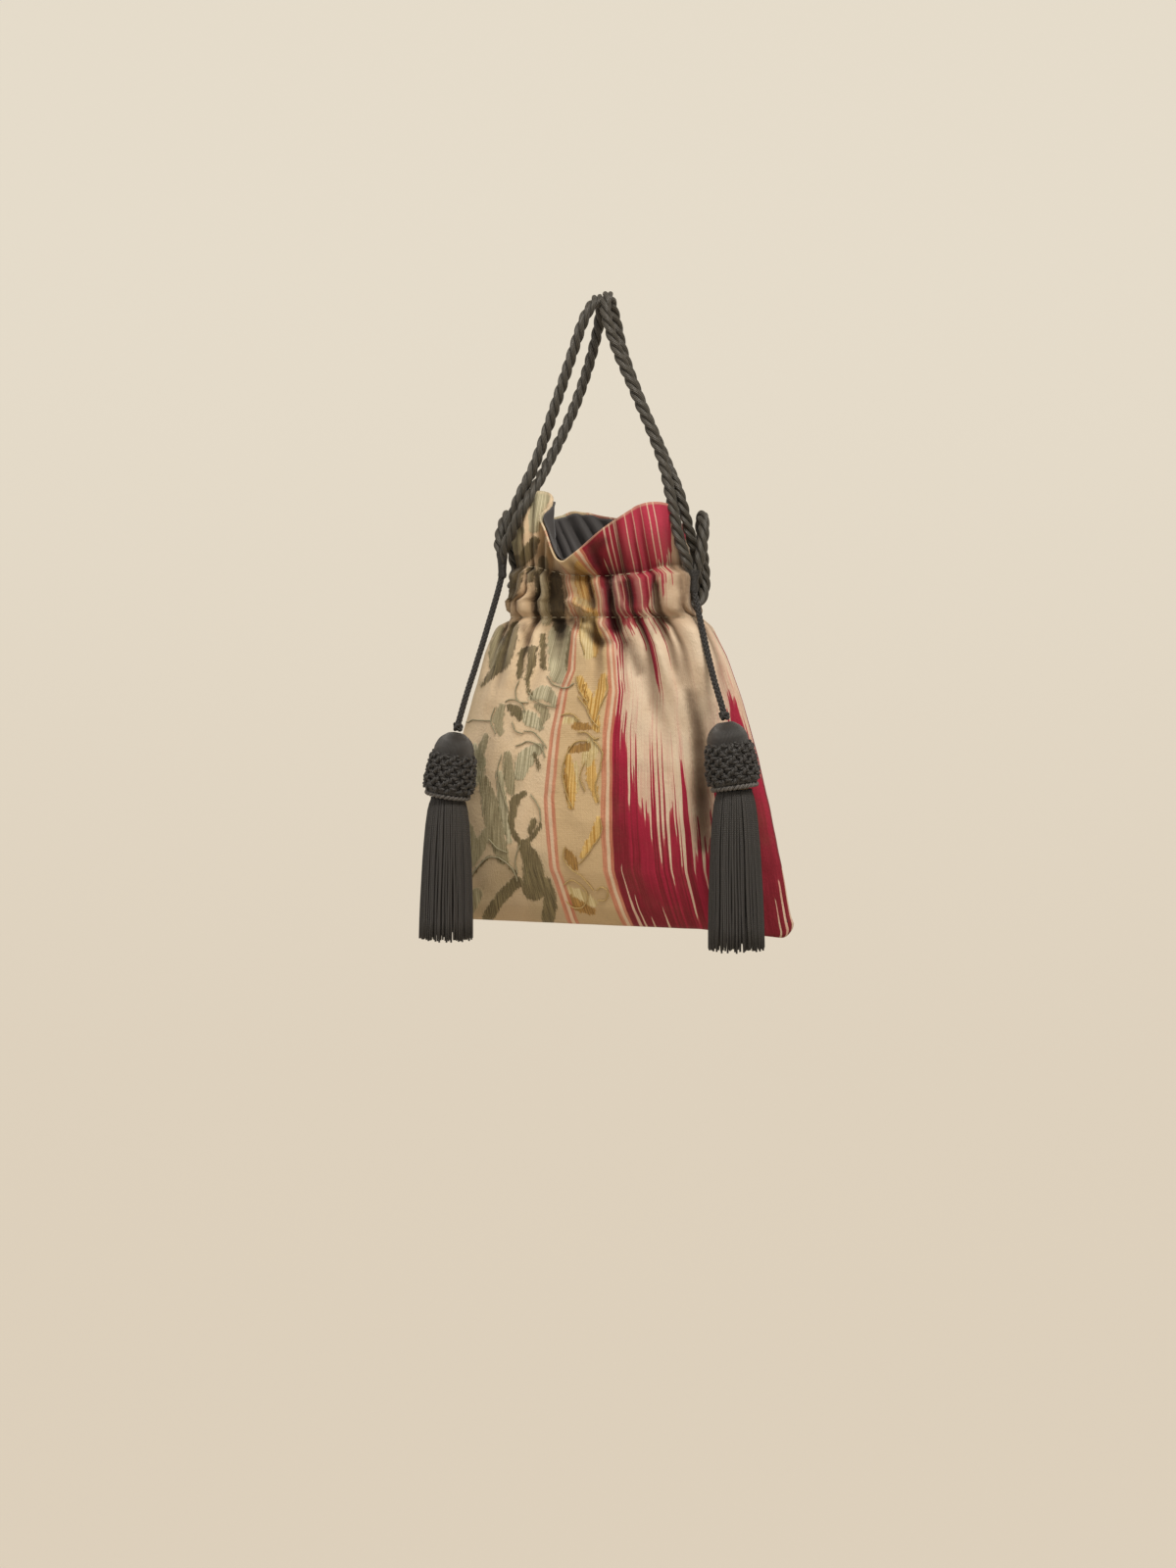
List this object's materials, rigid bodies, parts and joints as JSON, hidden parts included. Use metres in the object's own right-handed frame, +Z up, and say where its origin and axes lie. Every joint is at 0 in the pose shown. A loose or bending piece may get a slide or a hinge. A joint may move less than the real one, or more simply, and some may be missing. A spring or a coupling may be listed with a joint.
{
  "type": "kinchaku drawstring pouch",
  "caption": "Drawstring pouch of striped velvet brocade with a gathered mouth, a black lining, a twisted rope handle and hanging tassels.",
  "frame": {"origin": "hang point: the underside of the two ropes at the top of the handle", "axes": "+Z up, +X to the pouch's right side as its front is seen, -Y out of its front"},
  "size_m": [0.196, 0.0675, 0.3231],
  "materials": {
    "velvet_brocade": "cut velvet in crimson, cream, beige and olive stripes on a satin ground",
    "lining_cloth": "plain black cotton",
    "twisted_rope": "black satin thread, three strands twisted",
    "braided_cord": "fine black braid",
    "binding_thread": "wound black thread",
    "tassel_thread": "black bullion thread with a soft sheen",
    "mould_wood": "plain turned wood, hidden"
  },
  "bodies": {
    "pouch": {"outer_front_panel": "velvet_brocade", "outer_back_panel": "velvet_brocade", "lining_front_panel": "lining_cloth", "lining_back_panel": "lining_cloth", "left_drawcord": "twisted_rope", "right_drawcord": "twisted_rope", "left_cord_whipping": "binding_thread", "right_cord_whipping": "binding_thread"},
    "left_cord": {"left_tassel_cord": "braided_cord"},
    "left_knot": {"left_neck_knot": "braided_cord"},
    "left_tassel": {"left_head_mould": "mould_wood", "left_head_cover": "tassel_thread", "left_braided_collar": "braided_cord", "left_lower_binding": "binding_thread", "left_fringe_skirt": "tassel_thread"},
    "right_cord": {"right_tassel_cord": "braided_cord"},
    "right_knot": {"right_neck_knot": "braided_cord"},
    "right_tassel": {"right_head_mould": "mould_wood", "right_head_cover": "tassel_thread", "right_braided_collar": "braided_cord", "right_lower_binding": "binding_thread", "right_fringe_skirt": "tassel_thread"}
  },
  "joints": [
    {"name": "left_cord_swing", "type": "hinge", "parent": "pouch", "child": "left_cord", "pos_m": [-0.0497, -0.0136, -0.1348], "axis": [0, 1, 0], "range_deg": [0, 55]},
    {"name": "left_tassel_lift", "type": "hinge", "parent": "left_cord", "child": "left_knot", "pos_m": [-0.0687, -0.0274, -0.2106], "axis": [-1, 0, 0], "range_deg": [0, 60]},
    {"name": "left_tassel_sway", "type": "hinge", "parent": "left_knot", "child": "left_tassel", "pos_m": [-0.0687, -0.0274, -0.2106], "axis": [0, 1, 0], "range_deg": [0, 50]},
    {"name": "right_cord_swing", "type": "hinge", "parent": "pouch", "child": "right_cord", "pos_m": [0.0497, -0.0136, -0.1428], "axis": [0, -1, 0], "range_deg": [0, 55]},
    {"name": "right_tassel_lift", "type": "hinge", "parent": "right_cord", "child": "right_knot", "pos_m": [0.0687, -0.0274, -0.2034], "axis": [-1, 0, 0], "range_deg": [0, 60]},
    {"name": "right_tassel_sway", "type": "hinge", "parent": "right_knot", "child": "right_tassel", "pos_m": [0.0687, -0.0274, -0.2034], "axis": [0, -1, 0], "range_deg": [0, 50]}
  ]
}
